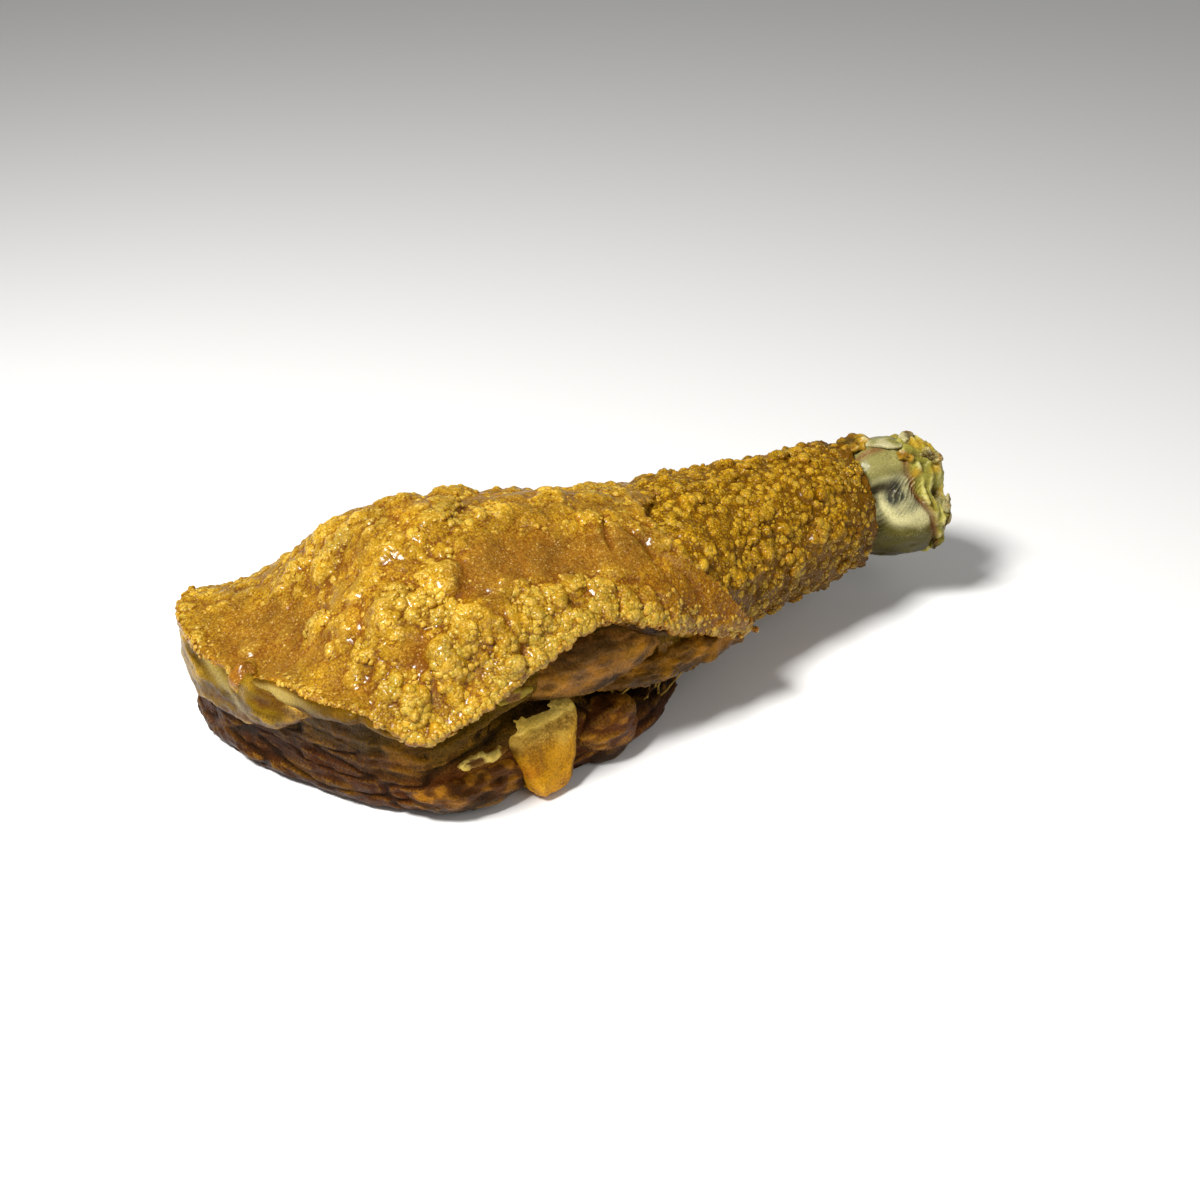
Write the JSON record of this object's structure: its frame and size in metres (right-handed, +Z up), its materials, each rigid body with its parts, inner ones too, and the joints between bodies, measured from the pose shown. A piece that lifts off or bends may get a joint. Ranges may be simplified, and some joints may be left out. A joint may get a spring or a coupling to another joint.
{
  "type": "roast pork leg",
  "caption": "Whole roast leg of pork lying on its side, with blistered crackling over the ham and shank, a bare cut inner side with the aitch bone, and the hock at the shank end.",
  "frame": {"origin": "on the flat underside, below the thick of the ham", "axes": "+X along the leg from the cut butt end to the hock, +Y from the cut inner side to the back, +Z up"},
  "size_m": [0.4018, 0.1827, 0.1236],
  "materials": {
    "crackling": "greasy golden brown crackling",
    "meat": "moist dark roast meat",
    "fat": "greasy golden fat",
    "bone": "roasted bone glazed with juices",
    "hock_skin": "pale translucent skin and tendon"
  },
  "bodies": {
    "root": {"roast_leg": "crackling", "aitch_bone": "bone", "hock": "hock_skin"}
  },
  "joints": []
}
